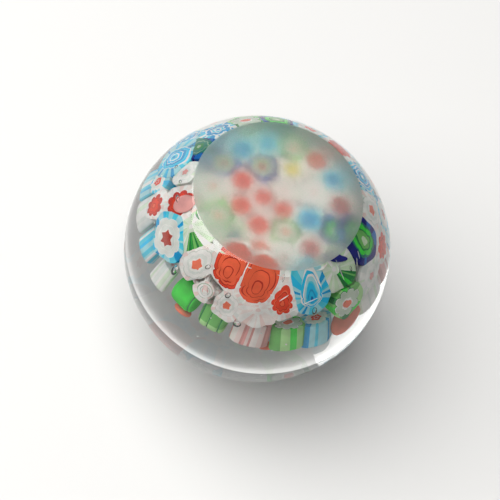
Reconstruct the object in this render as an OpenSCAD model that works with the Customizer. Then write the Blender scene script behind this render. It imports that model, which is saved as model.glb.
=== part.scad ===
// Millefiori paperweight: a clear glass ball with one flat ground face, and
// slices of patterned glass cane sealed inside it as a cup below that face.
// Frame: +Z up, origin at the lowest point of the ball, the ground face on top.
// A small polished flat at that lowest point is what the ball rests on.

/* [Glass ball] */
// Diameter of the ball
ball_d = 66; // [65:0.5:70]
// Diameter of the flat ground face
ground_d = 41; // [38:0.5:42]
// Diameter of the small polished flat that the ball rests on
rest_d = 9; // [8:0.5:10]

/* [Canes] */
// Clear glass between the ground face and the slices below it
cover = 1.2; // [1:0.1:1.6]
// Distance from the ball's centre to the outer faces of the slices that face outwards
cup_r = 29; // [28.5:0.1:29.5]
// Gap around each layer of glass, which keeps the layers separate solids
seam = 0.02; // [0.01:0.01:0.04]

/* [Hidden] */
$fn = 64;
ball_r = ball_d / 2;
// Heights of the ball's centre and of its ground face above the flat it rests on
centre_z = sqrt(ball_r * ball_r - rest_d * rest_d / 4);
ball_h = centre_z + sqrt(ball_r * ball_r - ground_d * ground_d / 4);
carpet_z = ball_h - cover;
groove_r = 0.16;

// Each pattern: name, ribs around the jacket, lobes of the flower (0 for a round one), radius of the flower
// and of the heart as shares of the slice's smaller radius, and the colours of jacket, flower and heart.
PATTERNS = [
    ["red_blossom",  0, 8, 0.74, 0.30, ["whitesmoke", "firebrick", "crimson"]],
    ["red_rose",     0, 6, 0.88, 0.38, ["mistyrose", "red", "orangered"]],
    ["blue_lily",    8, 6, 0.78, 0.34, ["deepskyblue", "aliceblue", "royalblue"]],
    ["aqua_star",   10, 8, 0.70, 0.36, ["turquoise", "lightgray", "firebrick"]],
    ["aqua_daisy",  10, 8, 0.60, 0.24, ["skyblue", "white", "tomato"]],
    ["blue_star",   10, 6, 0.72, 0.30, ["dodgerblue", "white", "royalblue"]],
    ["green_daisy", 10, 7, 0.78, 0.22, ["forestgreen", "honeydew", "tomato"]],
    ["green_leaf",   8, 0, 0.68, 0.00, ["limegreen", "palegreen"]],
    ["pale_leaf",    8, 0, 0.70, 0.00, ["honeydew", "mediumseagreen"]],
    ["teal_daisy",   8, 8, 0.74, 0.24, ["midnightblue", "teal", "lightseagreen"]],
    ["white_daisy",  0, 8, 0.68, 0.32, ["white", "honeydew", "coral"]],
    ["white_pearl",  0, 6, 0.60, 0.26, ["whitesmoke", "white", "salmon"]],
    ["navy_green",   8, 6, 0.70, 0.30, ["midnightblue", "seagreen", "darkgreen"]],
    ["navy_star",    8, 6, 0.76, 0.26, ["midnightblue", "khaki", "firebrick"]],
    ["yellow_daisy", 0, 8, 0.76, 0.40, ["white", "lightyellow", "gold"]],
    ["pink_stripe", 12, 0, 0.62, 0.00, ["mistyrose", "lightpink"]],
    ["ring_bead",    0, 0, 0.76, 0.38, ["honeydew", "darkseagreen", "indianred"]],
    ["red_chip",     6, 0, 0.00, 0.00, ["tomato"]],
];

// The carpet: three rings of slices under the ground face. Each slice has a pattern and a bearing.
CENTRE_RING = [["red_blossom", -161], ["red_blossom", -46], ["white_pearl", 75]];
INNER_RING = [
    ["red_blossom", -142], ["red_blossom", -101], ["green_daisy", -60], ["blue_lily", -15],
    ["white_pearl", 35], ["yellow_daisy", 85], ["navy_star", 132], ["red_blossom", 174],
];
OUTER_RING = [
    ["white_daisy", -168], ["green_daisy", -138], ["ring_bead", -113], ["red_rose", -89],
    ["white_pearl", -65], ["red_blossom", -40], ["navy_green", -8], ["red_blossom", 19],
    ["blue_lily", 45], ["red_rose", 69], ["green_daisy", 93], ["aqua_daisy", 117],
    ["blue_lily", 141], ["navy_star", 165],
];

// The shoulder and the side: slices that face outwards. Each has a pattern, a bearing around the ball,
// an elevation above the ball's middle, and a radius at its outer face.
SHOULDER = [
    ["red_rose", -101, 42, 3.3], ["red_rose", -82, 41, 3.4], ["red_blossom", -66, 35, 3.2],
    ["blue_lily", -49, 38, 3.5], ["pale_leaf", -28, 41, 3.3], ["navy_green", 0, 41, 3.6],
    ["white_daisy", 23, 40, 3.4], ["blue_lily", 45, 40, 3.4], ["red_blossom", 67, 40, 3.4],
    ["aqua_daisy", 87, 40, 3.4], ["navy_green", 107, 40, 3.3], ["green_daisy", 125, 40, 3.2],
    ["blue_star", 143, 40, 3.3], ["teal_daisy", 161, 42, 3.0], ["white_pearl", -178, 43, 3.2],
    ["red_blossom", -157, 41, 3.3], ["pale_leaf", -134, 41.5, 3.1], ["white_daisy", -118, 36, 3.3],
];
SIDE = [
    ["ring_bead", -107, 29, 2.0], ["white_daisy", -94, 28, 3.2], ["pink_stripe", -78, 27, 3.2],
    ["green_daisy", -29, 26, 3.4], ["white_pearl", -8, 26, 3.3], ["red_blossom", 10, 26, 3.4],
    ["aqua_star", 28, 26, 3.4], ["white_daisy", 46, 26, 3.4], ["blue_lily", 64, 26, 3.4],
    ["red_blossom", 82, 26, 3.4], ["aqua_daisy", 100, 26, 3.4], ["green_daisy", 118, 26, 3.4],
    ["white_pearl", 136, 26, 3.4], ["blue_lily", 153, 26, 3.2], ["blue_lily", 169, 30, 3.3],
    ["aqua_daisy", -177, 26, 3.0], ["red_blossom", -163, 26, 3.2], ["aqua_star", -142, 30, 3.5],
];

// The skirt: slices round the rim of the cup, which flare outwards at their lower ends. Each has a
// pattern, a bearing, and the height of its upper face above the ball's middle.
SKIRT = [
    ["white_pearl", -134, 6.6], ["green_leaf", -117, 7.4], ["green_leaf", -98, 7.0],
    ["pink_stripe", -77, 7.4], ["green_daisy", -58, 6.6], ["aqua_daisy", -41, 6],
    ["red_chip", -23, 3.8], ["white_pearl", -6, 6.6], ["pink_stripe", 12, 7.4],
    ["aqua_star", 30, 7.4], ["red_chip", 68, 6.6], ["aqua_daisy", 86, 7.4],
    ["white_pearl", 104, 7.4], ["green_daisy", 122, 7.4], ["aqua_daisy", 174, 7.0],
    ["white_pearl", -169, 7.4], ["aqua_daisy", -151, 7.4],
];
// Small chips tucked in under the skirt. Each has a pattern, a bearing, a height and a radius.
CHIPS = [["red_chip", -115, 0.8, 1.9], ["red_chip", -67, 0.2, 1.7]];
// A slice of this pattern lies down along the skirt instead of standing up.
LYING = "green_leaf";

// Each seat: node, pattern, bearing, ring radius, height, tilt from upright, radius at the face,
// radius at the root, and length. The face of a slice is at its seat, and its root is further in.
function two_digits(n) = n < 10 ? str("0", n) : str(n);
function own_node(row, k, pattern) = str(row, "_", two_digits(k + 1), "_", pattern);
function shared_node(row, pattern) = str(row, "_slices_", pattern);
function ring_seats(row, slices, ring_r, drop, tilt, face_r, root_r, l) =
    [for (k = [0 : len(slices) - 1])
        [own_node(row, k, slices[k][0]), slices[k][0], slices[k][1],
         ring_r, carpet_z - drop, tilt, face_r, root_r, l]];
function outward_seat(name, s, l) =
    [name, s[0], s[1], cup_r * cos(s[2]), centre_z + cup_r * sin(s[2]), 90 - s[2],
     s[3], s[3] * (cup_r - l) / cup_r, l];

SEATS = concat(
    ring_seats("centre", CENTRE_RING, 3.3, 0.2, 0, 2.7, 2.5, 5),
    ring_seats("inner", INNER_RING, 9.3, 0, 0, 3.1, 2.9, 5),
    ring_seats("outer", OUTER_RING, 15.8, 0.6, 13, 3.1, 2.6, 4.4),
    [for (k = [0 : len(SHOULDER) - 1])
        outward_seat(own_node("shoulder", k, SHOULDER[k][0]), SHOULDER[k], 5)],
    [for (s = SIDE) outward_seat(shared_node("side", s[0]), s, 6)],
    [for (s = SKIRT)
        [shared_node("skirt", s[0]), s[0], s[1], 21.6, centre_z + s[2], -18, 3, 3.2, 6]],
    [for (s = CHIPS)
        [shared_node("skirt", s[0]), s[0], s[1], 21.6, centre_z + s[2], -18, s[3], s[3], 0.9 * s[3]]]);

function seat_node(seat) = seat[0];
function lies_down(seat) = seat_node(seat) == shared_node("skirt", LYING);

SEAT_NODES = [for (seat = SEATS) seat_node(seat)];

// Puts its children at a seat: the slice's face on z = 0 and its length along -Z.
module at_seat(seat) {
    rotate([0, 0, seat[2]]) translate([seat[3], 0, seat[4]])
        if (lies_down(seat))
            translate([0, -seat[8] / 2, -seat[6]]) rotate([90, 0, 0]) children();
        else
            rotate([0, seat[5], 0]) children();
}

// Outline of a flower with round lobes, or a plain circle for no lobes.
module flower(lobes, r) {
    lobe_r = 0.34 * r;
    circle(lobes > 0 ? r - lobe_r : r);
    if (lobes > 0)
        for (i = [0 : lobes - 1])
            rotate(i * 360 / lobes) translate([r - lobe_r, 0]) circle(lobe_r);
}

// A straight rod of that outline through a slice, run past both ends where it cuts.
module rod(lobes, r, l, past = 0) {
    translate([0, 0, -l - past]) linear_extrude(l + 2 * past) flower(lobes, r);
}

// The outer layer of a slice, with grooves between its ribs and a bore for the flower.
module jacket(face_r, root_r, l, ribs, lobes, flower_r) {
    difference() {
        translate([0, 0, -l]) cylinder(h = l, r1 = root_r, r2 = face_r);
        if (flower_r > 0) rod(lobes, flower_r + seam, l, 1);
        if (ribs > 0)
            for (i = [0 : ribs - 1])
                rotate(i * 360 / ribs) translate([face_r, 0, 0]) rotate([0, atan((face_r - root_r) / l), 0])
                    translate([0, 0, -l - 1]) cylinder(h = l + 2, r = groove_r, $fn = 16);
    }
}

// One slice of cane: jacket, flower and heart, each a solid of its own.
module cane(seat) {
    pattern = PATTERNS[search([seat[1]], PATTERNS)[0]];
    face_r = seat[6];
    root_r = seat[7];
    l = seat[8];
    flower_r = pattern[3] * root_r;
    heart_r = pattern[4] * root_r;
    at_seat(seat) {
        color(pattern[5][0]) jacket(face_r, root_r, l, pattern[1], pattern[2], flower_r);
        if (flower_r > 0)
            color(pattern[5][1]) difference() {
                rod(pattern[2], flower_r, l);
                if (heart_r > 0) rod(0, heart_r + seam, l, 1);
            }
        if (heart_r > 0)
            color(pattern[5][2]) rod(0, heart_r, l);
    }
}

// The clear body: a ball cut flat at both ends, with a sealed pocket around every slice.
module glass_ball() {
    color("azure", 0.4) difference() {
        translate([0, 0, centre_z]) sphere(r = ball_r);
        translate([-ball_r, -ball_r, ball_h]) cube(ball_d);
        translate([-ball_r, -ball_r, -ball_d]) cube(ball_d);
        for (seat = SEATS)
            at_seat(seat) translate([0, 0, -seat[8] - seam])
                cylinder(h = seat[8] + 2 * seam, r1 = seat[7] + seam, r2 = seat[6] + seam);
    }
}

glass_ball();
for (seat = SEATS)
    cane(seat);
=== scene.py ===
"""Looks of the millefiori paperweight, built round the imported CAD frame: glass skin, cane slices, bubbles."""
import math

import bpy
import numpy as np
from mathutils import Matrix, Vector


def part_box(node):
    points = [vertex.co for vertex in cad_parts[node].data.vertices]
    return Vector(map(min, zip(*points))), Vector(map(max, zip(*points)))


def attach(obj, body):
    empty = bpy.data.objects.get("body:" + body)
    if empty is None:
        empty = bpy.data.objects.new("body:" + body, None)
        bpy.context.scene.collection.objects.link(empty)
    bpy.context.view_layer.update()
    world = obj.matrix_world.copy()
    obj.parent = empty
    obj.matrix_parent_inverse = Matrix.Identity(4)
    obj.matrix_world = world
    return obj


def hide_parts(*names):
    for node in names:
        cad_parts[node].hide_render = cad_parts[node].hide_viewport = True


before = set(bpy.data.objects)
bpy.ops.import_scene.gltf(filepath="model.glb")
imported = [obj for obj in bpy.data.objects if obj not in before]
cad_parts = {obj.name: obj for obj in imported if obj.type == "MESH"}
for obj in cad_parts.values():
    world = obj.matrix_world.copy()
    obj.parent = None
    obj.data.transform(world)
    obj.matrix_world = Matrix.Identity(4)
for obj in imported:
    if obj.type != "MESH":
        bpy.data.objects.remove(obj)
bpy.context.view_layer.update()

MM = 0.001
# Points closer together than this count as one point.
SAME_POINT = 0.001 * MM
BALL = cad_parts["glass_ball"].data
BALL_LOW, BALL_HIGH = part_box("glass_ball")
BALL_R = (BALL_HIGH.x - BALL_LOW.x) / 2
# The ground face is on top, and the ball rests on a small polished flat.
TOP_Z = BALL_HIGH.z
REST_R = max(v.co.xy.length for v in BALL.vertices if v.co.z < SAME_POINT)
CENTRE_Z = math.sqrt(BALL_R**2 - REST_R**2)
BALL_CENTRE = Vector((0, 0, CENTRE_Z))
GROUND_R = math.sqrt(BALL_R**2 - (TOP_Z - CENTRE_Z) ** 2)


# ---------------------------------------------------------------- camera, floor and light

CAMERA_ELEVATION = math.radians(57.7)
CAMERA_ROLL = math.radians(21.6)
CAMERA_DISTANCE = 0.55
CAMERA_LENS, SENSOR_WIDTH = 160, 36
NEAR_CLIP, FAR_CLIP = 0.01, 20
# The camera aims this far to the left of the ball's centre, and this far below it.
AIM_LEFT, AIM_DOWN = 1.76 * MM, 0.3 * MM


def make_camera():
    """Looks down along +Y at the ball, rolled so that the ball's axis leans to the right."""
    back = Vector((0, -math.cos(CAMERA_ELEVATION), math.sin(CAMERA_ELEVATION)))
    level_up = back.cross(Vector((1, 0, 0)))
    up = level_up * math.cos(CAMERA_ROLL) - Vector((1, 0, 0)) * math.sin(CAMERA_ROLL)
    right = up.cross(back)
    data = bpy.data.cameras.new("camera")
    data.lens = CAMERA_LENS
    data.sensor_width = SENSOR_WIDTH
    data.clip_start, data.clip_end = NEAR_CLIP, FAR_CLIP
    camera = bpy.data.objects.new("camera", data)
    camera.location = BALL_CENTRE - right * AIM_LEFT - up * AIM_DOWN + back * CAMERA_DISTANCE
    camera.rotation_mode = "QUATERNION"
    camera.rotation_quaternion = Matrix((right, up, back)).transposed().to_quaternion()
    bpy.context.scene.collection.objects.link(camera)
    bpy.context.scene.camera = camera


def new_material(name):
    """An empty node material: returns it with its Principled shader."""
    material = bpy.data.materials.new(name)
    material.use_nodes = True
    shader = next(n for n in material.node_tree.nodes if n.type == "BSDF_PRINCIPLED")
    return material, shader


def add_node(material, kind, **sockets):
    """A shader node with its input sockets set by name."""
    node = material.node_tree.nodes.new(kind)
    for key, value in sockets.items():
        node.inputs[key.replace("_", " ")].default_value = value
    return node


FLOOR_HALF = 4.0
FLOOR_COLOR = (0.70, 0.70, 0.695, 1)


def make_floor():
    """A plain pale table top."""
    mesh = bpy.data.meshes.new("floor")
    corners = [(x * FLOOR_HALF, y * FLOOR_HALF, 0) for x, y in ((-1, -1), (1, -1), (1, 1), (-1, 1))]
    mesh.from_pydata(corners, [], [(0, 1, 2, 3)])
    floor = bpy.data.objects.new("floor", mesh)
    bpy.context.scene.collection.objects.link(floor)
    material, shader = new_material("floor")
    shader.inputs["Base Color"].default_value = FLOOR_COLOR
    shader.inputs["Roughness"].default_value = 0.7
    shader.inputs["Specular IOR Level"].default_value = 0.2
    mesh.materials.append(material)


SKY_COLOR = (0.94, 0.97, 1.0, 1)
SKY_STRENGTH = 0.15
# The softbox: its place from the ball's centre, its width, power and colour.
KEY_PLACE = Vector((-0.55, -0.13, 1.0))
KEY_WIDTH = 1.7
KEY_POWER = 29.5
KEY_COLOR = (1.0, 0.985, 0.965)


def make_light():
    """A dim even surround, and one large softbox overhead, to the left and in front."""
    world = bpy.data.worlds.new("surround")
    bpy.context.scene.world = world
    world.use_nodes = True
    background = world.node_tree.nodes["Background"]
    background.inputs["Color"].default_value = SKY_COLOR
    background.inputs["Strength"].default_value = SKY_STRENGTH
    data = bpy.data.lights.new("key", "AREA")
    data.shape = "DISK"
    data.size = KEY_WIDTH
    data.energy = KEY_POWER
    data.color = KEY_COLOR
    key = bpy.data.objects.new("key", data)
    key.location = BALL_CENTRE + KEY_PLACE
    key.rotation_mode = "QUATERNION"
    key.rotation_quaternion = KEY_PLACE.to_track_quat("Z", "Y")
    bpy.context.scene.collection.objects.link(key)


# ---------------------------------------------------------------- materials


def noise(material, place, scale, detail=2.0):
    """Soft procedural noise over a piece's own coordinates."""
    node = add_node(material, "ShaderNodeTexNoise", Scale=scale, Detail=detail)
    material.node_tree.links.new(place, node.inputs["Vector"])
    return node.outputs["Fac"]


def map_range(material, value, source, target):
    """A value moved from one range, given as two ends, to another, and kept inside it."""
    node = add_node(material, "ShaderNodeMapRange", From_Min=source[0], From_Max=source[1],
                    To_Min=target[0], To_Max=target[1])
    material.node_tree.links.new(value, node.inputs["Value"])
    return node.outputs["Result"]


def calculate(material, kind, operation, *inputs):
    """The number that a maths node makes of its inputs, which are sockets or constants."""
    node = add_node(material, kind)
    node.operation = operation
    for k, value in enumerate(inputs):
        if isinstance(value, bpy.types.NodeSocket):
            material.node_tree.links.new(value, node.inputs[k])
        else:
            node.inputs[k].default_value = value
    return node.outputs["Value"]


def color_ramp(material, value, low, high):
    """A colour between two, by a value; low and high are each a position and a colour."""
    node = add_node(material, "ShaderNodeValToRGB")
    for element, (position, color) in zip(node.color_ramp.elements, (low, high)):
        element.position = position
        element.color = color
    material.node_tree.links.new(value, node.inputs["Fac"])
    return node.outputs["Color"]


GLASS_COLOR = (0.985, 0.99, 0.985, 1)
GLASS_IOR = 1.52


def clear_glass(name):
    """Clear glass; a bubble has the same glass, and its surface faces inwards."""
    material, shader = new_material(name)
    shader.inputs["Base Color"].default_value = GLASS_COLOR
    shader.inputs["Roughness"].default_value = 0.0
    shader.inputs["IOR"].default_value = GLASS_IOR
    shader.inputs["Transmission Weight"].default_value = 1.0
    return material


def add_glow(material, shader, share, color):
    """Lets a share of the light through the surface, scattered every way, as milky glass does."""
    links = material.node_tree.links
    through = add_node(material, "ShaderNodeBsdfTranslucent")
    mix = add_node(material, "ShaderNodeMixShader", Fac=share)
    output = next(n for n in material.node_tree.nodes if n.type == "OUTPUT_MATERIAL")
    links.new(color, through.inputs["Color"])
    links.new(shader.outputs["BSDF"], mix.inputs[1])
    links.new(through.outputs["BSDF"], mix.inputs[2])
    links.new(mix.outputs["Shader"], output.inputs["Surface"])


# The ground face: its roughness, the grain left by the grinding, the share of the light that passes as
# through clear glass, and the share that passes scattered.
FACE_ROUGHNESS = 0.95
GRAIN_SCALE, GRAIN_DEPTH = 5200.0, 0.0003
FACE_CLEAR = 0.86
FACE_HAZE = 0.46
# The white grit marks in it: their scale, the noise values where they set in, and how much light passes.
MARKS_SCALE, MARKS_DETAIL = 1500.0, 1.0
MARKS_SET_IN = (0.70, 0.76)
MARKS_CLEAR = 0.3
# Its tint is pale in the middle and darker and greener at the edge, from this share of the radius outwards:
# partly the glass's own green tint, partly painted shade.
TINT_START = 0.45
TINT_PALE = (0.79, 0.77, 0.75, 1)
TINT_EDGE_AND_SHADE = (0.65, 0.75, 0.67, 1)
# The side of the face where the darker edge is strongest, which is painted shade there, and how strong it is on
# the other side.
SHADED_SIDE = (-0.42, 0.91)
TINT_FRONT = 0.25
# The tint is speckled: how much, the scale, and the noise values between which it changes.
SPECKLE, SPECKLE_SCALE = 0.3, 2200.0
SPECKLE_RANGE = (0.35, 0.65)


def face_tint(material, place):
    """The colour of the ground face, by the distance from its middle, the side and the speckle; the darker
    edge, strongest on one side, is partly painted shade.
    """
    links = material.node_tree.links
    split = add_node(material, "ShaderNodeSeparateXYZ")
    links.new(place, split.inputs["Vector"])
    flat = add_node(material, "ShaderNodeCombineXYZ")
    for axis in ("X", "Y"):
        links.new(split.outputs[axis], flat.inputs[axis])
    flat_place = flat.outputs["Vector"]
    radius = calculate(material, "ShaderNodeVectorMath", "LENGTH", flat_place)
    edge = map_range(material, radius, (TINT_START * GROUND_R, GROUND_R), (0.0, 1.0))
    # The edge gets darker still towards one side: painted shade.
    to_back = (*[c / GROUND_R for c in SHADED_SIDE], 0)
    back = calculate(material, "ShaderNodeVectorMath", "DOT_PRODUCT", flat_place, to_back)
    lean = map_range(material, back, (-1.0, 1.0), (TINT_FRONT, 1.0))
    edge_and_shade = calculate(material, "ShaderNodeMath", "MULTIPLY", edge, lean)
    speckle = map_range(material, noise(material, place, SPECKLE_SCALE), SPECKLE_RANGE, (-SPECKLE, SPECKLE))
    amount = calculate(material, "ShaderNodeMath", "ADD", speckle, edge_and_shade)
    return color_ramp(material, amount, (0.0, TINT_PALE), (1.0, TINT_EDGE_AND_SHADE))


def ground_glass():
    """The matt base: glass roughened by grinding, darker and greener towards its edge, partly from its own tint
    and partly as painted shade, with fine white grit marks.
    """
    material, shader = new_material("ground_glass")
    links = material.node_tree.links
    shader.inputs["IOR"].default_value = GLASS_IOR
    shader.inputs["Roughness"].default_value = FACE_ROUGHNESS
    place = add_node(material, "ShaderNodeTexCoord").outputs["Object"]
    bump = add_node(material, "ShaderNodeBump", Strength=1.0, Distance=GRAIN_DEPTH)
    links.new(noise(material, place, GRAIN_SCALE), bump.inputs["Height"])
    links.new(bump.outputs["Normal"], shader.inputs["Normal"])
    tint = face_tint(material, place)
    links.new(tint, shader.inputs["Base Color"])
    marks = noise(material, place, MARKS_SCALE, MARKS_DETAIL)
    clear = map_range(material, marks, MARKS_SET_IN, (FACE_CLEAR, MARKS_CLEAR))
    links.new(clear, shader.inputs["Transmission Weight"])
    add_glow(material, shader, FACE_HAZE, tint)
    return material


# The share of the light that goes through a cane's surface.
CANE_GLOW = 0.10
CANE_ROUGHNESS = 0.5
# The clouding in a cane's glass: the scale of the clouds, how dark the colour gets between them, and the
# noise values where it is darkest and where it is full.
CLOUD_SCALE, CLOUD_DARKER = 300.0, 0.82
CLOUD_DARK_AT, CLOUD_FULL_AT = 0.3, 0.62


def cane_glass(name, color):
    """Opaque or milky coloured glass inside the ball, with soft clouding."""
    material, shader = new_material(name)
    place = add_node(material, "ShaderNodeTexCoord").outputs["Object"]
    darker = [c * CLOUD_DARKER for c in color]
    clouded = color_ramp(material, noise(material, place, CLOUD_SCALE),
                         (CLOUD_DARK_AT, (*darker, 1)), (CLOUD_FULL_AT, (*color, 1)))
    material.node_tree.links.new(clouded, shader.inputs["Base Color"])
    shader.inputs["Roughness"].default_value = CANE_ROUGHNESS
    shader.inputs["Specular IOR Level"].default_value = 0.0
    add_glow(material, shader, CANE_GLOW, clouded)
    return material


def fissure():
    """A thin air gap in the glass: it mirrors whatever is bright."""
    material, shader = new_material("fissure")
    shader.inputs["Base Color"].default_value = (1, 1, 1, 1)
    shader.inputs["Metallic"].default_value = 1.0
    shader.inputs["Roughness"].default_value = 0.45
    return material


# The colours of the cane glass.
COLORS = {
    "red": (0.92, 0.085, 0.04),
    "orange": (1.0, 0.16, 0.07),
    "dark_red": (0.55, 0.035, 0.025),
    "brown_red": (0.50, 0.08, 0.06),
    "crimson": (0.66, 0.065, 0.05),
    "coral": (1.0, 0.24, 0.14),
    "pink": (0.88, 0.42, 0.40),
    "dusky_pink": (0.72, 0.33, 0.30),
    "pale_pink": (0.92, 0.74, 0.70),
    "white": (0.97, 0.96, 0.93),
    "blush": (0.95, 0.87, 0.83),
    "milk": (0.84, 0.87, 0.83),
    "pale_grey": (0.70, 0.74, 0.69),
    "grey": (0.50, 0.55, 0.50),
    "pale_green": (0.68, 0.85, 0.60),
    "pale_sage": (0.66, 0.76, 0.62),
    "green": (0.07, 0.82, 0.08),
    "light_green": (0.50, 0.86, 0.36),
    "mist": (0.80, 0.90, 0.74),
    "leaf": (0.20, 0.60, 0.15),
    "dark_green": (0.03, 0.27, 0.07),
    "teal": (0.03, 0.24, 0.18),
    "cyan": (0.10, 0.70, 0.90),
    "bright_cyan": (0.03, 0.60, 0.95),
    "pale_cyan": (0.42, 0.80, 0.88),
    "blue": (0.02, 0.38, 0.76),
    "deep_blue": (0.01, 0.16, 0.55),
    "navy": (0.015, 0.02, 0.24),
    "yellow": (0.84, 0.76, 0.36),
    "gold": (0.86, 0.72, 0.14),
    "slate": (0.10, 0.24, 0.36),
    "sage": (0.40, 0.54, 0.38),
}
MATERIALS = {}


def cane_material(name):
    """The material for a colour name, made once."""
    if name not in MATERIALS:
        MATERIALS[name] = cane_glass("cane_" + name, COLORS[name])
    return MATERIALS[name]


# ---------------------------------------------------------------- where the CAD puts each slice


# Normals that agree this closely belong to one flat end.
FLAT = 0.999
# Solids whose upper ends are closer than this belong to one slice.
SAME_SLICE = 0.3 * MM
# The axis of a lying slice rises less than this.
LYING_RISE = 0.5
# Keeps a triangle with no area from being divided by.
TINY = 1e-18


def solids_of(node):
    """Each closed solid of a CAD node as (points, triangles), with its doubled vertices merged."""
    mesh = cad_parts[node].data
    points = np.array([v.co for v in mesh.vertices])
    triangles = np.array([list(p.vertices) for p in mesh.polygons])
    keys, same = np.unique(np.round(points / SAME_POINT).astype(np.int64), axis=0, return_inverse=True)
    points, triangles = keys * SAME_POINT, same.ravel()[triangles]
    label = np.arange(len(points))
    while True:
        low = label[triangles].min(axis=1)
        before = label.copy()
        for corner in range(3):
            np.minimum.at(label, triangles[:, corner], low)
        label = label[label]
        if (label == before).all():
            break
    return [(points, triangles[label[triangles[:, 0]] == one]) for one in np.unique(label[triangles])]


def flat_ends(points, triangles):
    """The two flat ends of a straight solid, as (centre, outward normal, radius), upper end first."""
    a, b, c = (points[triangles[:, k]] for k in range(3))
    cross = np.cross(b - a, c - a)
    area = np.linalg.norm(cross, axis=1)
    normal = cross / np.maximum(area, TINY)[:, None]
    group = np.unique(np.round(normal, 2), axis=0, return_inverse=True)[1].ravel()
    sizes = np.bincount(group, weights=area)
    axis = (normal[group == sizes.argmax()]).mean(axis=0)
    axis /= np.linalg.norm(axis)
    ends = []
    for way in (axis, -axis):
        on = normal @ way > FLAT
        middle = ((a + b + c)[on] / 3 * area[on][:, None]).sum(axis=0) / area[on].sum()
        rim = np.linalg.norm(points[triangles[on]].reshape(-1, 3) - middle, axis=1).max()
        ends.append((Vector(middle), Vector(way), rim))
    return sorted(ends, key=lambda end: -end[0].z)


def read_slices():
    """One entry for each slice of cane in the frame: its node, row, pattern, two ends and radii."""
    slices = []
    for node in sorted(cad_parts):
        if node == "glass_ball":
            continue
        row, _, pattern = node.split("_", 2)
        found = []
        for points, triangles in solids_of(node):
            (face, axis, face_r), (root, _, root_r) = flat_ends(points, triangles)
            twin = next((s for s in found if (s["face"] - face).length < SAME_SLICE), None)
            if twin is None:
                found.append(dict(node=node, row=row, pattern=pattern, face=face, root=root,
                                  axis=axis, face_r=face_r, root_r=root_r))
            elif face_r > twin["face_r"]:
                twin.update(face_r=face_r, root_r=root_r)
        for number, one in enumerate(found):
            one["name"] = node if len(found) == 1 else f"{node}_{number + 1}"
            one["lying"] = pattern == "green_leaf" and abs(one["axis"].z) < LYING_RISE
            one["middle"] = one["face"].lerp(one["root"], 0.5) if one["lying"] else one["face"]
            one["bearing"] = math.degrees(math.atan2(one["middle"].y, one["middle"].x))
        slices += found
    return slices


# ---------------------------------------------------------------- the slices themselves


PETAL_FULLNESS = 0.6
STAR_POINT = 0.8


def petals(angle, lobes, depth):
    """The radius round a flower with full petals and narrow notches."""
    return 1 - depth * (1 - np.abs(np.cos(lobes * angle / 2)) ** PETAL_FULLNESS)


def star(angle, lobes, depth):
    """The radius round a star with pointed rays."""
    return 1 - depth * np.abs(np.sin(lobes * angle / 2)) ** STAR_POINT


def rounded(angle, lobes, depth):
    """The radius round a disc with soft, shallow lobes."""
    return 1 + depth * np.cos(lobes * angle)


# Each pattern: the colours of the streaks in its casing and how many there are, then the layers inside the
# casing from outside in: share of the radius, outline, lobes, depth of the lobes, colour.
WHITE_CASE = (["white", "blush", "white", "pale_pink", "milk", "white", "blush", "white"], 30)
AQUA_CASE = (["cyan", "pale_cyan", "cyan", "bright_cyan", "pale_cyan", "blue", "pale_cyan"], 26)
BLOSSOM = [
    (0.88, petals, 8, 0.20, "white"), (0.82, petals, 8, 0.27, "red"), (0.60, petals, 8, 0.27, "orange"),
    (0.54, petals, 8, 0.27, "dark_red"), (0.50, petals, 8, 0.27, "red"), (0.20, petals, 8, 0.2, "dark_red"),
    (0.16, petals, 8, 0.2, "orange")]
ROSE = [
    (1.00, petals, 7, 0.20, "white"), (0.96, petals, 7, 0.25, "red"), (0.90, petals, 7, 0.24, "orange"),
    (0.70, petals, 6, 0.18, "dark_red"), (0.67, petals, 6, 0.18, "orange"),
    (0.48, petals, 6, 0.14, "dark_red"), (0.45, petals, 6, 0.14, "orange"),
    (0.24, rounded, 3, 0.06, "dark_red"), (0.20, rounded, 3, 0.06, "orange")]
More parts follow.
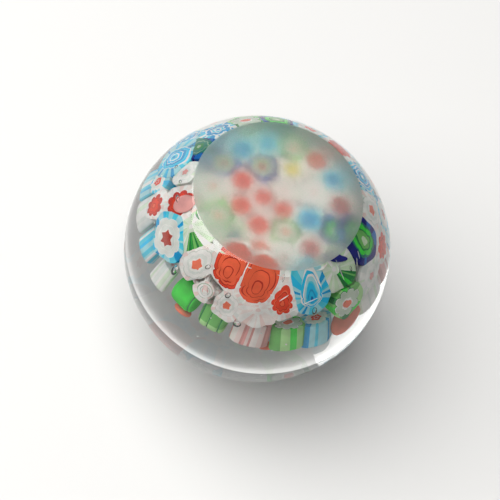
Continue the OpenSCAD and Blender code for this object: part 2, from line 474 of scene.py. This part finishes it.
PATTERNS = {
    "red_blossom": (WHITE_CASE, BLOSSOM),
    "red_rose": (WHITE_CASE, ROSE),
    "blue_lily": (AQUA_CASE, [
        (0.96, petals, 6, 0.12, "white"), (0.89, petals, 6, 0.14, "bright_cyan"),
        (0.76, petals, 6, 0.17, "white"), (0.69, petals, 6, 0.2, "blue"), (0.54, petals, 6, 0.2, "white"),
        (0.50, petals, 6, 0.2, "bright_cyan"), (0.34, petals, 6, 0.2, "deep_blue"),
        (0.26, petals, 6, 0.2, "cyan"), (0.12, rounded, 3, 0.05, "white")]),
    "aqua_star": (AQUA_CASE, [
        (0.92, petals, 8, 0.18, "white"), (0.88, petals, 8, 0.19, "milk"), (0.60, petals, 8, 0.10, "white"),
        (0.57, petals, 8, 0.10, "milk"), (0.47, star, 6, 0.30, "white"), (0.44, star, 6, 0.36, "brown_red")]),
    "aqua_daisy": ((["pale_cyan", "cyan", "pale_cyan", "white", "cyan", "bright_cyan"], 24), [
        (0.80, petals, 10, 0.16, "white"), (0.60, petals, 10, 0.14, "milk"), (0.36, rounded, 5, 0.10, "red"),
        (0.16, rounded, 5, 0.2, "white"), (0.13, rounded, 5, 0.2, "red")]),
    "blue_star": ((["cyan", "blue", "white", "bright_cyan", "cyan", "white"], 26), [
        (0.84, petals, 6, 0.22, "white"), (0.76, petals, 6, 0.26, "blue"), (0.56, star, 6, 0.30, "white"),
        (0.48, star, 6, 0.34, "cyan"), (0.24, rounded, 5, 0.10, "white"), (0.14, rounded, 5, 0.1, "blue")]),
    "green_daisy": ((["leaf", "green", "light_green", "leaf", "dark_green"], 16), [
        (0.99, petals, 8, 0.26, "dark_green"), (0.97, petals, 8, 0.32, "white"),
        (0.93, petals, 8, 0.33, "pale_sage"), (0.42, petals, 7, 0.2, "white"),
        (0.30, rounded, 2, 0.18, "coral")]),
    "green_leaf": ((["green"], 1), []),
    "pale_leaf": ((["pale_green", "mist", "pale_green", "mist", "white"], 22), [
        (0.30, rounded, 3, 0.05, "mist"), (0.14, rounded, 3, 0.05, "white")]),
    "white_daisy": (WHITE_CASE, [
        (0.88, petals, 8, 0.12, "pale_grey"), (0.85, petals, 8, 0.14, "white"),
        (0.62, petals, 8, 0.16, "milk"), (0.44, petals, 8, 0.2, "white"), (0.36, star, 5, 0.26, "coral")]),
    "white_pearl": ((["white", "milk", "white", "mist", "white"], 20), [
        (0.78, petals, 6, 0.12, "milk"), (0.72, petals, 6, 0.12, "white"),
        (0.40, rounded, 5, 0.12, "milk"), (0.24, rounded, 5, 0.12, "pink")]),
    "navy_green": ((["navy", "deep_blue", "navy", "navy"], 14), [
        (0.86, petals, 6, 0.10, "teal"), (0.76, petals, 6, 0.2, "green"),
        (0.52, petals, 5, 0.2, "dark_green"), (0.42, petals, 5, 0.2, "leaf"),
        (0.20, rounded, 3, 0.1, "pale_green")]),
    "navy_star": ((["navy", "deep_blue", "navy"], 12), [
        (0.90, petals, 8, 0.24, "pale_sage"), (0.66, petals, 8, 0.2, "leaf"),
        (0.56, petals, 8, 0.2, "pale_green"), (0.36, rounded, 6, 0.1, "brown_red")]),
    "teal_daisy": ((["navy", "deep_blue", "navy", "teal"], 12), [
        (0.86, petals, 9, 0.10, "teal"), (0.68, petals, 9, 0.14, "sage"), (0.62, petals, 9, 0.14, "teal"),
        (0.34, rounded, 5, 0.1, "dark_green"), (0.16, rounded, 5, 0.1, "sage")]),
    "yellow_daisy": (WHITE_CASE, [
        (0.80, petals, 8, 0.15, "pale_green"), (0.72, petals, 8, 0.16, "yellow"),
        (0.25, rounded, 5, 0.1, "white")]),
    "pink_stripe": ((["pale_pink", "dusky_pink", "pink", "pale_pink", "dusky_pink", "blush"], 22), [
        (0.34, rounded, 3, 0.05, "white"), (0.16, rounded, 3, 0.05, "pale_pink")]),
    "ring_bead": ((["blush", "white", "pale_pink", "white"], 14), [
        (0.90, rounded, 3, 0.02, "sage"), (0.84, rounded, 3, 0.02, "white"),
        (0.58, rounded, 3, 0.03, "grey"), (0.52, rounded, 3, 0.04, "milk"),
        (0.36, rounded, 3, 0.05, "pink")]),
    "red_chip": ((["coral"], 1), []),
}


# Under the ground face only soft patches of colour show, so there these patterns fade out at their edges.
UNDER_FACE = {
    "red_blossom": (WHITE_CASE, [
        (0.98, petals, 8, 0.10, "pale_pink"), (0.88, petals, 8, 0.20, "pink"), (0.78, petals, 8, 0.22, "red"),
        (0.30, petals, 8, 0.20, "crimson")]),
    "blue_lily": ((["pale_cyan", "mist", "pale_cyan", "white"], 24), [
        (0.99, petals, 6, 0.06, "pale_cyan"), (0.88, petals, 6, 0.10, "cyan"),
        (0.66, petals, 6, 0.12, "blue")]),
    "yellow_daisy": (WHITE_CASE, [
        (0.86, petals, 8, 0.15, "mist"), (0.74, petals, 8, 0.16, "yellow"), (0.45, rounded, 5, 0.1, "gold")]),
    "aqua_daisy": ((["pale_cyan", "mist", "cyan"], 24), [
        (0.74, petals, 10, 0.16, "cyan"), (0.42, rounded, 5, 0.10, "blue")]),
    "ring_bead": ((["mist", "milk", "pale_green"], 14), [
        (0.90, rounded, 3, 0.02, "pale_sage"), (0.66, rounded, 3, 0.03, "sage"),
        (0.44, rounded, 3, 0.05, "slate")]),
}


class Melt:
    """How one slice differs from its pattern: what the heat and its neighbours did to it.

    wide: how much wider than its neighbours leave room for.  rise: how far it spreads towards the ground
    face, over the slices there.  drawn and sharp: how far its flower stretches that way, and how pointed it
    is, 2 being round.  size: how much larger the flower is.  lean: the angle its middle sits towards, and how
    far.  tip: the angle at which the casing turns green, and half the width of that part.  spin: the angle of
    its first petal.  paint: other colours for some layers.  case: another casing.  follow: how closely the
    flower follows the outline of its casing.  grooves: where dark grooves cross a lying slice.  proud: how
    far a lens stands out.  Lengths are shares of the slice's radius, and angles are in degrees.
    """

    def __init__(self, wide=0.0, rise=0.0, drawn=0.0, sharp=2.0, size=1.0, lean=(0, 0.0), tip=None,
                 spin=None, paint=None, case=None, follow=None, grooves=(), proud=0.2):
        self.wide, self.rise, self.drawn, self.sharp, self.size = wide, rise, drawn, sharp, size
        self.lean, self.tip, self.spin, self.paint = lean, tip, spin, paint or {}
        self.case, self.follow, self.grooves, self.proud = case, follow, grooves, proud


# By row and bearing, in degrees round the ball.
MELTS = {
    ("shoulder", -118): Melt(rise=0.6, size=1.12, lean=(200, 0.1)),
    ("shoulder", -101): Melt(wide=0.1, rise=1.0, drawn=0.7, size=1.1, lean=(250, 0.1), spin=270,
                             paint={1: "dark_red", 2: "red"}),
    ("shoulder", -82): Melt(wide=0.14, rise=1.0, drawn=0.6, size=1.16, lean=(270, 0.2), spin=270),
    ("shoulder", -66): Melt(rise=0.8, drawn=0.25, size=0.92, spin=80),
    ("shoulder", -49): Melt(rise=1.1, drawn=1.6, sharp=1.35, size=0.86, lean=(270, 0.42), spin=270,
                            follow=0.05,
                            paint={3: "pale_cyan", 4: "cyan", 6: "blue", 7: "bright_cyan", 8: "deep_blue"}),
    ("shoulder", -28): Melt(rise=0.7, lean=(120, 0.85), tip=(-60, 34)),
    ("shoulder", 0): Melt(rise=0.8, drawn=0.8, sharp=1.5, lean=(90, 0.1), follow=0.3, size=1.05),
    ("shoulder", -178): Melt(wide=-0.3),
    ("shoulder", -157): Melt(rise=0.3, drawn=0.1, paint={1: "crimson", 2: "red"}),
    ("shoulder", -134): Melt(rise=0.8, lean=(140, 0.8), tip=(-15, 36)),
    ("side", -163): Melt(paint={1: "crimson", 2: "red"}),
    ("side", -142): Melt(wide=0.34, size=1.12, lean=(20, 0.06)),
    ("side", -107): Melt(wide=0.14, follow=0.2),
    ("side", -94): Melt(size=0.9),
    ("side", -78): Melt(lean=(90, 0.75), case=(["white", "blush", "white", "pale_pink", "blush"], 16)),
    ("side", -29): Melt(wide=0.15, lean=(290, 0.2)),
    ("side", 169): Melt(wide=0.5, rise=0.9, drawn=1.2, sharp=1.5, lean=(200, 0.1), follow=0.2,
                        paint={2: "cyan", 6: "white", 8: "blue"}),
    ("outer", 19): Melt(paint={2: "brown_red", 3: "brown_red"}),
    ("outer", -40): Melt(paint={2: "crimson", 3: "brown_red"}),
    ("outer", 69): Melt(paint={1: "brown_red", 2: "crimson"}),
    ("skirt", -117): Melt(grooves=(0.86,)),
    ("skirt", -98): Melt(grooves=(0.06, 0.38, 0.80), case=(["light_green", "leaf", "light_green"], 5)),
    ("skirt", -58): Melt(case=(["light_green", "green", "light_green", "leaf"], 11)),
    ("skirt", -41): Melt(case=(["pale_cyan", "cyan", "pale_cyan", "pale_cyan", "blue"], 15)),
    ("skirt", -134): Melt(wide=-0.42),
    ("skirt", -151): Melt(wide=-0.25),
    ("skirt", 174): Melt(wide=-0.1),
    ("skirt", -169): Melt(wide=-0.15),
    ("skirt", -23): Melt(proud=0.75, size=1.15),
}


# An entry in MELTS belongs to the slice within this many degrees of its bearing.
SAME_BEARING = 4


def melt_of(one):
    """The slice's entry in MELTS, or a plain one."""
    for (row, bearing), melt in MELTS.items():
        off = (one["bearing"] - bearing + 180) % 360 - 180
        if row == one["row"] and abs(off) < SAME_BEARING:
            return melt
    return Melt()


SEGMENTS = 120
ANGLES = np.linspace(0, 2 * math.pi, SEGMENTS, endpoint=False)
TOWARDS_FACE = np.maximum(0, np.sin(ANGLES))
# The rows that face outwards; the others lie under the ground face.
OUTWARD_ROWS = ("shoulder", "side", "skirt")
# How far a casing spreads where nothing stops it, in radii; in the skirt it spreads less, mostly sideways.
REACH = 1.5
SKIRT_REACH, SKIRT_SIDEWAYS = 1.06, 0.26
# How far two neighbours run into each other, and how far away a slice still counts as a neighbour, in radii.
OVERLAP = 1.09
NEIGHBOUR_REACH = 3.4
# A neighbour presses a casing in only where the cosine of the angle to it is above FACING, and never below
# LEAST_REACH radii. UNPRESSED stands for the reach where it doesn't press.
FACING = 0.2
LEAST_REACH = 0.96
UNPRESSED = 9.0
# The outline is smoothed over this many segments to each side, with this spread.
SMOOTH_SEGMENTS, SMOOTH_SPREAD = 6, 2.6
# A lump, which is a plain piece with no flower, is this much fuller than in CAD, and has two uneven waves.
LUMP_FULLNESS = 1.04
LUMP_WAVES = (0.03, 0.02)
# How closely a flower follows the outline of its casing: the slices under the ground face stay rounder.
FOLLOW_OUTWARD, FOLLOW_CARPET = 0.5, 0.15
# The upper ends of the slices under the ground face are this much lower than in CAD, which softens them.
SINK = 0.9 * MM
# A casing has ribs this deep, in radii, one for every two streaks.
RIB_DEPTH = 0.02
FEWEST_RIBS = 3
# The middle of an outward face stands out by this much.
BULGE = 0.35 * MM
# The most that a slice is twisted, in radians, and how uneven the outlines of its layers are.
TWIST = 0.15
UNEVEN = 0.02
# The narrowest and the widest streak, against the middle one.
STREAK_WIDTHS = (0.35, 1.65)
# A flower keeps within this share of its ribbed casing. Each layer keeps within a share of the flower, which
# starts at the first number and shrinks by the second, so that no two layers can cross.
FLOWER_LIMIT = 0.97
LAYER_LIMIT, LAYER_STEP = 0.99, 0.035
# Petals flatten this much faster than their flower is drawn out.
PETAL_FLATTENING = 1.4
# The streaks in the green tip of a casing, if they went all the way round.
TIP_COLORS, TIP_STREAKS = ["green", "dark_green", "leaf", "dark_green"], 30
# A slice whose axis rises more than this faces the ground face.
UPRIGHT = 0.95


def slice_axes(one):
    """Two unit vectors across a slice: sideways, and the one that leans most upwards or outwards."""
    axis = one["axis"]
    lead = Vector((0, 0, 1)) if abs(axis.z) < UPRIGHT else one["face"] - BALL_CENTRE
    upward = (lead - axis * lead.dot(axis)).normalized()
    return upward.cross(axis), upward


def packed_outline(one, slices, melt):
    """How far the casing reaches at each angle: it runs into its neighbours, and is full in between."""
    side, upward = slice_axes(one)
    radius = one["face_r"]
    if one["lying"] or one["pattern"] == "red_chip":
        return np.full(SEGMENTS, radius * LUMP_FULLNESS)
    free = SKIRT_REACH + SKIRT_SIDEWAYS * np.cos(ANGLES) ** 2 if one["row"] == "skirt" else REACH
    reach = radius * (free + melt.wide + melt.rise * TOWARDS_FACE**2)
    for other in slices:
        gap = other["middle"] - one["face"]
        across = np.array([gap.dot(side), gap.dot(upward)])
        distance = np.linalg.norm(across)
        above = melt.rise and other["row"] not in OUTWARD_ROWS
        if other is one or above or gap.length > NEIGHBOUR_REACH * radius:
            continue
        share = (OVERLAP + melt.wide) * distance * radius / (radius + other["face_r"])
        toward = np.cos(ANGLES - math.atan2(across[1], across[0]))
        limit = np.where(toward > FACING, share / np.maximum(toward, FACING), UNPRESSED)
        reach = np.minimum(reach, np.maximum(limit, radius * (LEAST_REACH + melt.wide)))
    steps = np.arange(-SMOOTH_SEGMENTS, SMOOTH_SEGMENTS + 1)
    spread = np.exp(-0.5 * (steps / SMOOTH_SPREAD) ** 2)
    wrapped = np.concatenate([reach[-SMOOTH_SEGMENTS:], reach, reach[:SMOOTH_SEGMENTS]])
    return np.convolve(wrapped, spread / spread.sum(), mode="valid")


def streaks(rng, colors, count):
    """The material of each segment round a casing: the colours in turn, in bands of uneven width."""
    widths = rng.uniform(*STREAK_WIDTHS, count)
    edges = np.cumsum(widths) / widths.sum() * SEGMENTS
    start = rng.integers(len(colors))
    return [cane_material(colors[(start + int(np.searchsorted(edges, k + 0.5))) % len(colors)])
            for k in range(SEGMENTS)]


def casing(rng, colors, count, tip):
    """The material of each segment round a casing, with green streaks in its tip where it has one."""
    case = streaks(rng, colors, count)
    if tip:
        off = np.degrees(np.abs((ANGLES - math.radians(tip[0]) + math.pi) % (2 * math.pi) - math.pi))
        green = streaks(rng, TIP_COLORS, TIP_STREAKS)
        case = [g if o < tip[1] else c for c, g, o in zip(case, green, off)]
    return case


class MeshMaker:
    """Gathers points, faces and their materials, and turns them into one object."""

    def __init__(self):
        self.points, self.faces, self.materials, self.slots, self.smooth = [], [], [], [], []

    def ring(self, ring_points):
        """Adds points, and returns their numbers."""
        start = len(self.points)
        self.points += [tuple(p) for p in ring_points]
        return list(range(start, len(self.points)))

    def slot(self, material):
        """The number of a material in this object."""
        if material not in self.slots:
            self.slots.append(material)
        return self.slots.index(material)

    def add(self, face, material, smooth):
        """Adds one face."""
        self.faces.append(face)
        self.materials.append(self.slot(material))
        self.smooth.append(smooth)

    def band(self, low, high, materials, smooth=True):
        """Quads between two rings, facing outwards when high is further along the axis or further in."""
        count = len(low)
        for k in range(count):
            material = materials[k] if isinstance(materials, list) else materials
            self.add((low[k], low[(k + 1) % count], high[(k + 1) % count], high[k]), material, smooth)

    def fan(self, ring, centre, materials, flip=False, smooth=False):
        """Triangles from a ring to its middle; flip for a ring at the low end."""
        tip = self.ring([centre])[0]
        count = len(ring)
        for k in range(count):
            pair = (ring[k], ring[(k + 1) % count])
            material = materials[k] if isinstance(materials, list) else materials
            self.add((pair[1], pair[0], tip) if flip else (pair[0], pair[1], tip), material, smooth)

    def build(self, name):
        """The finished object, in the scene."""
        mesh = bpy.data.meshes.new(name)
        mesh.from_pydata(self.points, [], self.faces)
        for material in self.slots:
            mesh.materials.append(material)
        mesh.polygons.foreach_set("material_index", self.materials)
        mesh.polygons.foreach_set("use_smooth", self.smooth)
        mesh.update()
        thing = bpy.data.objects.new(name, mesh)
        bpy.context.scene.collection.objects.link(thing)
        return thing


# The wall of a standing slice: places along it, from 0 at the face to 1 at the root, and shares of its
# radius there. It is straight, with a small rounding at each end.
WALL = [(0.0, 0.97), (0.012, 0.99), (0.04, 1.0), (0.35, 1.0), (0.65, 1.0), (0.96, 1.0), (1.0, 0.96)]
# A lump's wall is a rounded curve in this many rows. It starts this angle away from the middle of each end.
LUMP_ROWS = 41
LUMP_START = 0.02
# How square that curve is: 2 makes an ellipse.
LYING_SQUARENESS, CHIP_SQUARENESS = 4.5, 2.2
# The grooves in a lump: width as a share of its length, and depth as a share of its radius.
GROOVE_WIDTH, GROOVE_DEPTH = 0.035, 0.08
# A row is dark where the groove is deeper than this share of its full depth.
GROOVE_DARK = 0.45


def wall_rows(one, melt):
    """The rings of a slice's wall, from face to root: place along it, share of its radius, dark or not."""
    rows = WALL
    if one["pattern"] == "red_chip" or one["lying"]:
        square = LYING_SQUARENESS if one["lying"] else CHIP_SQUARENESS
        steps = np.linspace(LUMP_START, math.pi - LUMP_START, LUMP_ROWS)
        rows = [((1 - math.cos(t)) / 2, (1 - abs(math.cos(t)) ** square) ** (1 / square)) for t in steps]
    dips = [sum(math.exp(-(((along - g) / GROOVE_WIDTH) ** 2)) for g in melt.grooves) for along, _ in rows]
    return [(along, scale * (1 - GROOVE_DEPTH * dip), dip > GROOVE_DARK)
            for (along, scale), dip in zip(rows, dips)]


def slice_piece(one, slices, rng):
    """One slice as a closed mesh: a streaked casing, with nested petals on its two ends."""
    outward = one["row"] in OUTWARD_ROWS
    table = PATTERNS if outward else {**PATTERNS, **UNDER_FACE}
    (case_colors, case_count), layers = table[one["pattern"]]
    side, upward = slice_axes(one)
    taper = one["root_r"] / one["face_r"]
    melt = melt_of(one)
    top = one["face"] if outward else one["face"] - one["axis"] * SINK
    spin = rng.uniform(0, 2 * math.pi) if melt.spin is None else math.radians(melt.spin)
    wobble = rng.normal(0, UNEVEN, (len(layers) + 1, 4))
    phase = rng.uniform(0, 2 * math.pi, 4)
    outline = packed_outline(one, slices, melt)
    arch = np.abs(np.cos(ANGLES)) ** melt.sharp + (TOWARDS_FACE / (1 + melt.drawn)) ** melt.sharp
    stretch = np.where(TOWARDS_FACE > 0, arch ** (-1 / melt.sharp), 1.0)
    if not layers:
        waves = [depth * np.cos((n + 2) * ANGLES + phase[n]) for n, depth in enumerate(LUMP_WAVES)]
        outline = outline * stretch * (1 + waves[0] + waves[1])
    ribs = max(case_count // 2, FEWEST_RIBS)
    ribbed = outline * (1 - RIB_DEPTH * (0.5 - 0.5 * np.cos(ANGLES * ribs + phase[0])))
    case = casing(rng, *(melt.case or (case_colors, case_count)), melt.tip)
    twist = rng.uniform(-TWIST, TWIST)
    turned = np.exp(1j * ANGLES)
    maker = MeshMaker()

    def place(flat_points, along, lift=0.0):
        """Points given as x + iy across the slice; along is 0 at the face and 1 at the root."""
        flat_points = flat_points * (1 + (taper - 1) * along) * np.exp(1j * twist * along)
        middle = np.array(top.lerp(one["root"], along) + one["axis"] * lift)
        across = np.outer(flat_points.real, np.array(side))
        return middle + across + np.outer(flat_points.imag, np.array(upward))

    follow = FOLLOW_OUTWARD if outward else FOLLOW_CARPET
    if melt.follow is not None:
        follow = melt.follow
    flower = ((1 - follow) * one["face_r"] + follow * outline) * stretch
    flower = np.minimum(flower, FLOWER_LIMIT * ribbed) * turned
    centre = melt.lean[1] * one["face_r"] * np.exp(1j * math.radians(melt.lean[0]))

    def layer_outline(k, limit):
        """The outline of layer k, as a shrunken flower that keeps within the limit."""
        share, shape, lobes, depth, _ = layers[k]
        uneven = 1 + sum(w * np.cos((n + 1) * ANGLES + phase[n]) for n, w in enumerate(wobble[k]))
        flattened = depth * (1 - min(1, PETAL_FLATTENING * melt.drawn) * TOWARDS_FACE)
        lobed = shape(ANGLES - spin, lobes, flattened)
        reach = np.minimum(share * melt.size * lobed * uneven, limit)
        return centre + reach * (flower - centre)

    rows = wall_rows(one, melt)
    walls = [maker.ring(place(ribbed * scale * turned, along)) for along, scale, _ in rows]
    for upper, lower, (_, _, dark) in zip(walls, walls[1:], rows):
        maker.band(lower, upper, cane_material("dark_green") if dark else case)
    for at_root, ring in ((False, walls[0]), (True, walls[-1])):
        along, rim_scale, _ = rows[-1 if at_root else 0]
        bulge = 0 if at_root or not layers or not outward else BULGE
        color, limit = case, LAYER_LIMIT
        for k, layer in enumerate(layers):
            flat_points = layer_outline(k, limit) * rim_scale
            limit -= LAYER_STEP
            lift = bulge * (1 - (np.abs(flat_points - centre).mean() / outline.mean()) ** 2)
            inner = maker.ring(place(flat_points, along, lift))
            maker.band(*((inner, ring) if at_root else (ring, inner)), color, smooth=False)
            ring, color = inner, cane_material(melt.paint.get(k, layer[4]))
        tip = place(np.array([centre * rim_scale]), along, bulge)[0]
        maker.fan(ring, tip, color, flip=at_root)
    return own(maker.build(one["name"] + "_cane"), one["node"])


def own(piece, node):
    """Ties a piece to the ball's root, and hides the CAD node it stands for."""
    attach(piece, "root")
    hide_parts(node)
    return piece


# ---------------------------------------------------------------- bubbles, scratches and chips in the glass


def on_shell(bearing, elevation, depth):
    """A place under the ball's surface, with the directions outwards, sideways and to the ground face."""
    bearing, elevation = math.radians(bearing), math.radians(elevation)
    x, y = math.cos(bearing), math.sin(bearing)
    out = Vector((x * math.cos(elevation), y * math.cos(elevation), math.sin(elevation)))
    side = Vector((-y, x, 0))
    return BALL_CENTRE + out * (BALL_R - depth), out, side, out.cross(side)


# A blob's segments round its length and width, and its rows through its depth.
BLOB_SEGMENTS, BLOB_ROWS = 20, 10


def blob(name, place, half_sizes, turn, material, node, hollow=False):
    """A smooth lump: half_sizes are its length at the turn angle, its width, and its depth into the ball."""
    middle, out, side, up = place
    turn = math.radians(turn)
    length = (side * math.cos(turn) + up * math.sin(turn)) * half_sizes[0]
    width = (up * math.cos(turn) - side * math.sin(turn)) * half_sizes[1]
    depth = out * half_sizes[2]
    maker = MeshMaker()
    around = [2 * math.pi * k / BLOB_SEGMENTS for k in range(BLOB_SEGMENTS)]
    rings = []
    for row in range(1, BLOB_ROWS):
        climb = -math.pi / 2 + math.pi * row / BLOB_ROWS
        rings.append(maker.ring([middle + (length * math.cos(a) + width * math.sin(a)) * math.cos(climb)
                                 + depth * math.sin(climb) for a in around]))
    for lower, upper in zip(rings, rings[1:]):
        maker.band(*((upper, lower) if hollow else (lower, upper)), material)
    maker.fan(rings[-1], middle + depth, material, flip=hollow, smooth=True)
    maker.fan(rings[0], middle - depth, material, flip=not hollow, smooth=True)
    return own(maker.build(name), node)


# In these lists lengths are in mm, and angles in degrees.
# Bubbles: bearing, elevation, depth, half length, half width, turn. Each is a little flatter than wide.
BUBBLES = [
    (-112.8, 39.0, 3.4, 0.75, 0.5, 60), (-95.4, 33.0, 3.4, 0.8, 0.6, 60), (-86.0, 21.6, 3.0, 1.0, 0.8, 10),
    (-67.0, 47.5, 3.4, 1.1, 0.28, 85), (-48.2, 29.9, 3.2, 0.9, 0.62, 80), (177.0, 36.5, 3.2, 0.5, 0.45, 0),
    (-159.4, 41.4, 3.0, 1.1, 0.55, 10), (-171.0, 42.0, 3.2, 0.5, 0.4, 20), (161.4, 37.9, 3.2, 0.5, 0.4, 50),
    (-125.6, 26.3, 2.8, 1.4, 0.8, 100), (-150.0, 47.0, 3.4, 0.6, 0.3, 30), (-20.0, 40.0, 3.4, 0.7, 0.3, 80),
    (38.0, 33.0, 3.2, 0.7, 0.5, 30), (92.0, 34.0, 3.2, 0.6, 0.5, 70), (128.0, 35.0, 3.2, 0.8, 0.4, 10),
]
BUBBLE_FLATNESS = 0.85
# Scratches and fissures that catch the light: bearing, elevation, depth, half length, turn.
SCRATCHES = [
    (-66.3, 39.0, 1.4, 1.3, 37), (-51.3, 36.4, 1.4, 2.1, 12), (-29.2, 44.4, 1.6, 2.9, 92),
    (-60.0, 33.5, 1.4, 0.9, 25), (-16.0, 41.0, 1.8, 1.2, 60), (-12.0, 43.0, 1.8, 1.0, 70),
]
SCRATCH_R = 0.13 * MM
# Slivers of cane outside the cup: bearing, elevation, depth, half sizes, turn, colour, node and slot.
SLIVERS = {
    "pink_lens": (-154.5, 44.2, 3.3, (3.0, 2.2, 0.5), 75, "pink",
                  "shoulder_16_red_blossom", "red_blossom_glass"),
    "navy_splinter": (-27.0, 49.0, 3.3, (3.4, 0.8, 0.4), -34, "navy",
                      "shoulder_06_navy_green", "navy_green_glass"),
}
# Seeds are the finest air bubbles, drawn as white specks whose white is a painted glint: how many there are,
# and the ranges of their radii and places.
SEEDS = 60
SEED_R = (0.14, 0.24)
SEED_ELEVATION = (-35, 30)
SEED_DEPTH = (0.8, 3.0)
# Red chips larger than this are lenses.
CHIP_R = 2.2 * MM
# A lens faces this far upwards, and lies turned and raised. Its sizes are shares of the chip's radius.
LENS_TILT, LENS_TURN = 58, 24
LENS_RAISED = 0.15
LENS_SIZES = (1.45, 0.85, 0.42)


def lens_piece(one):
    """A flat chip of red cane, melted to a leaf-shaped lens that lies against the cup."""
    _, out, side, up = on_shell(one["bearing"], LENS_TILT, 0)
    melt, radius = melt_of(one), one["face_r"]
    middle = one["face"].lerp(one["root"], 0.5)
    middle += (out * melt.proud + up * LENS_RAISED) * radius
    blob(one["name"] + "_cane", (middle, out, side, up), [k * radius * melt.size for k in LENS_SIZES],
         LENS_TURN, cane_material("coral"), one["node"])


def make_flaws(rng):
    """Air bubbles at the canes, a few bright scratches, seeds through the clear glass drawn white as painted
    glints, and slivers.
    """
    air = clear_glass("bubble")
    for k, (bearing, elevation, depth, length, width, turn) in enumerate(BUBBLES):
        sizes = (length * MM, width * MM, BUBBLE_FLATNESS * width * MM)
        blob(f"bubble_{k + 1:02d}", on_shell(bearing, elevation, depth * MM), sizes, turn, air,
             "glass_ball", hollow=True)
    gap = fissure()
    for k, (bearing, elevation, depth, length, turn) in enumerate(SCRATCHES):
        sizes = (length * MM, SCRATCH_R, SCRATCH_R)
        blob(f"scratch_{k + 1:02d}", on_shell(bearing, elevation, depth * MM), sizes, turn, gap,
             "glass_ball")
    for k in range(SEEDS):
        bearing, elevation = rng.uniform(-180, 180), rng.uniform(*SEED_ELEVATION)
        place = on_shell(bearing, elevation, rng.uniform(*SEED_DEPTH) * MM)
        radius = rng.uniform(*SEED_R) * MM
        # Each seed is white cane glass: a painted glint.
        blob(f"seed_{k + 1:02d}", place, (radius, radius, radius), 0, cane_material("white"),
             "glass_ball")
    for name, (bearing, elevation, depth, sizes, turn, color, node, slot) in SLIVERS.items():
        blob(name, on_shell(bearing, elevation, depth * MM), [size * MM for size in sizes], turn,
             cane_material(color), node)


# ---------------------------------------------------------------- the clear ball


# The bevel round the ground face, and the height of the polished flat above the table.
BEVEL = 0.25 * MM
REST_LIFT = 0.02 * MM
SKIN_SEGMENTS = 256
SKIN_ROWS = 120
FACE_RINGS = 8


def glass_skin():
    """The ball as one clear body of revolution, with its ground face and the small bevel round it."""
    start = math.asin(GROUND_R / BALL_R) + BEVEL / BALL_R
    end = math.pi - math.asin(REST_R / BALL_R)
    arc = [start + (end - start) * k / SKIN_ROWS for k in range(SKIN_ROWS)]
    profile = [(BALL_R * math.sin(a), CENTRE_Z + BALL_R * math.cos(a)) for a in arc]
    profile.append((REST_R, REST_LIFT))
    around = [2 * math.pi * k / SKIN_SEGMENTS for k in range(SKIN_SEGMENTS)]
    maker = MeshMaker()

    def circle(radius, z):
        """A ring of points round the ball's axis."""
        return maker.ring([(radius * math.cos(a), radius * math.sin(a), z) for a in around])

    clear, ground = clear_glass("clear_glass"), ground_glass()
    face_rings = [circle((GROUND_R - BEVEL) * (1 - k / FACE_RINGS), TOP_Z) for k in range(FACE_RINGS)]
    ball_rings = [circle(radius, z) for radius, z in profile]
    for outer, inner in zip(face_rings, face_rings[1:]):
        maker.band(outer, inner, ground, smooth=False)
    maker.fan(face_rings[-1], (0, 0, TOP_Z), ground)
    maker.band(ball_rings[0], face_rings[0], ground)
    for upper, lower in zip(ball_rings, ball_rings[1:]):
        maker.band(lower, upper, clear)
    maker.fan(ball_rings[-1], (0, 0, REST_LIFT), clear, flip=True)
    own(maker.build("glass_ball_skin"), "glass_ball")


# ---------------------------------------------------------------- everything together

# Every random draw follows from this number.
RANDOM_START = 7

bpy.context.scene.view_settings.view_transform = "Standard"
make_camera()
make_floor()
make_light()
slices = read_slices()
rng = np.random.default_rng(RANDOM_START)
for one in slices:
    if one["pattern"] == "red_chip" and one["face_r"] > CHIP_R:
        lens_piece(one)
    else:
        slice_piece(one, slices, rng)
make_flaws(rng)
glass_skin()
